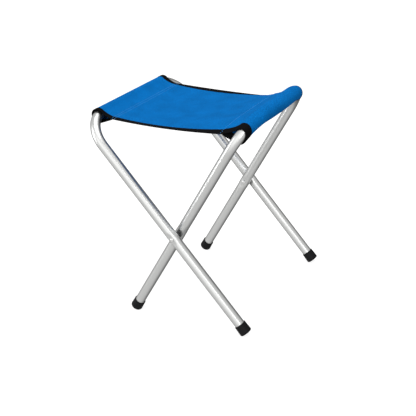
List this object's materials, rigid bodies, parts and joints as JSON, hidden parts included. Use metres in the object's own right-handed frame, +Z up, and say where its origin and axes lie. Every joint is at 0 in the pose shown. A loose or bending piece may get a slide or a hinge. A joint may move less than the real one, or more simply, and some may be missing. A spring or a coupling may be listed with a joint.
{
  "type": "folding camp stool",
  "caption": "Small folding camp stool with two crossed bent aluminium tube frames, riveted pivots, rubber feet and a blue fabric sling seat edged in black tape.",
  "frame": {"origin": "on the floor, below the middle of the seat", "axes": "+Z up, +X from the outer frame's rail to the inner frame's rail, +Y along the rails to the back"},
  "size_m": [0.3369, 0.316, 0.4035],
  "materials": {
    "tube": "drawn tube, satin with a bright lengthwise sheen",
    "rivet": "smooth domed",
    "spacer": "matte nylon",
    "foot_rubber": "matte moulded",
    "seat_fabric": "plain woven polyester",
    "thread": "twisted thread",
    "edge_tape": "ribbed binding tape"
  },
  "bodies": {
    "outer_frame": {"outer_frame_tube": "tube", "foot_cap_outer_front": "foot_rubber", "foot_cap_outer_back": "foot_rubber", "pivot_rivet_front": "rivet", "pivot_rivet_back": "rivet", "pivot_spacer_front": "spacer", "pivot_spacer_back": "spacer"},
    "inner_frame": {"inner_frame_tube": "tube", "foot_cap_inner_front": "foot_rubber", "foot_cap_inner_back": "foot_rubber", "seat_sleeve_inner": "seat_fabric", "mouth_tape_inner_front": "edge_tape", "mouth_tape_inner_back": "edge_tape"},
    "seat_half_inner": {"seat_panel_inner_half": "seat_fabric", "edge_tape_inner_front": "edge_tape", "edge_tape_inner_back": "edge_tape", "seam_stitches_inner": "thread"},
    "seat_half_outer": {"seat_panel_outer_half": "seat_fabric", "edge_tape_outer_front": "edge_tape", "edge_tape_outer_back": "edge_tape", "seam_stitches_outer": "thread", "seat_sleeve_outer": "seat_fabric", "mouth_tape_outer_front": "edge_tape", "mouth_tape_outer_back": "edge_tape"}
  },
  "joints": [
    {"name": "fold", "type": "hinge", "parent": "outer_frame", "child": "inner_frame", "pos_m": [0, 0, 0.17852], "axis": [0, -1, 0], "range_deg": [0, 66.76]},
    {"name": "seat_at_inner_rail", "type": "hinge", "parent": "inner_frame", "child": "seat_half_inner", "pos_m": [0.1565, 0, 0.3915], "axis": [0, -1, 0], "range_deg": [0, 45.37], "deforming": ["seat_panel_inner_half", "edge_tape_inner_front", "edge_tape_inner_back", "seam_stitches_inner"]},
    {"name": "seat_crease", "type": "hinge", "parent": "seat_half_inner", "child": "seat_half_outer", "pos_m": [0, 0, 0.374], "axis": [0, 1, 0], "range_deg": [0, 157.45], "deforming": ["seat_panel_outer_half", "edge_tape_outer_front", "edge_tape_outer_back", "seam_stitches_outer", "seat_sleeve_outer", "mouth_tape_outer_front", "mouth_tape_outer_back"]}
  ],
  "couplings": [
    {"joint": "seat_at_inner_rail", "follows": "fold", "ratio": 0.6789},
    {"joint": "seat_crease", "follows": "fold", "ratio": 2.3577}
  ]
}
